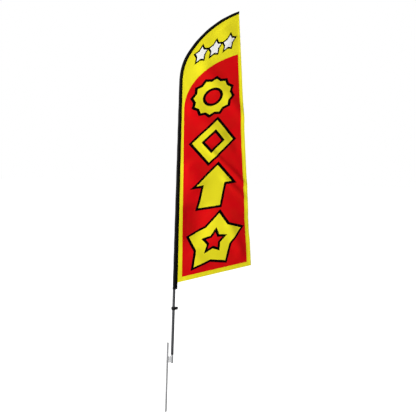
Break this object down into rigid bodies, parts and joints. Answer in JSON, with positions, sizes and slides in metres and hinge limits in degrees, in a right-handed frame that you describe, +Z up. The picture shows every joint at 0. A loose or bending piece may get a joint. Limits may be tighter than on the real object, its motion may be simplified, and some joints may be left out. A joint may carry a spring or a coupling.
{
  "type": "feather flag with pole",
  "caption": "Tall narrow feather flag with a bowed top in a black sleeve, on a sectional pole that swivels on the peg of a steel ground spike.",
  "frame": {"origin": "on the pole's axis, at the flat underside of the spike's peg, which is at ground level", "axes": "+Z up along the pole, +X from the pole towards the flag's free edge, Y across the cloth; the spike's rod is on the -X side"},
  "size_m": [0.832, 0.041, 3.7115],
  "materials": {
    "spike_steel": "drawn round steel, dull zinc plated, scuffed at the point",
    "zinc_steel": "bright zinc plated",
    "pole_aluminium": "satin grey anodised tube",
    "black_nylon": "moulded black nylon",
    "glassfibre": "pultruded black glass-fibre",
    "cap_rubber": "soft black rubber",
    "sleeve_cloth": "black woven polyester",
    "flag_cloth": "knitted polyester with a slight satin sheen, printed red with yellow border and motifs"
  },
  "bodies": {
    "ground_spike": {"spike_rod": "spike_steel", "spike_plate": "zinc_steel", "spike_peg": "zinc_steel"},
    "swivel_washer": {"thrust_washer": "black_nylon"},
    "lower_pole": {"lower_tube": "pole_aluminium", "lower_bush": "black_nylon", "upper_guide_bush": "black_nylon"},
    "tie_hook": {"hook_collar": "black_nylon"},
    "upper_pole": {"middle_tube": "pole_aluminium", "middle_ferrule": "black_nylon", "upper_tube": "glassfibre", "tip_ferrule": "zinc_steel", "tip_rod": "glassfibre", "tip_cap": "cap_rubber", "pole_sleeve": "sleeve_cloth", "flag_panel": "flag_cloth"}
  },
  "joints": [
    {"name": "pole_swivel", "type": "hinge", "parent": "ground_spike", "child": "swivel_washer", "pos_m": [0, 0, 0.083], "axis": [0, 0, 1], "continuous": true},
    {"name": "pole_lift", "type": "slide", "parent": "swivel_washer", "child": "lower_pole", "axis": [0, 0, 1], "range_m": [0, 0.218]},
    {"name": "section_pull", "type": "slide", "parent": "lower_pole", "child": "upper_pole", "axis": [0, 0, 1], "range_m": [0, 0.226]},
    {"name": "hook_turn", "type": "hinge", "parent": "lower_pole", "child": "tie_hook", "pos_m": [0, 0, 0.519], "axis": [0, 0, 1], "continuous": true}
  ]
}
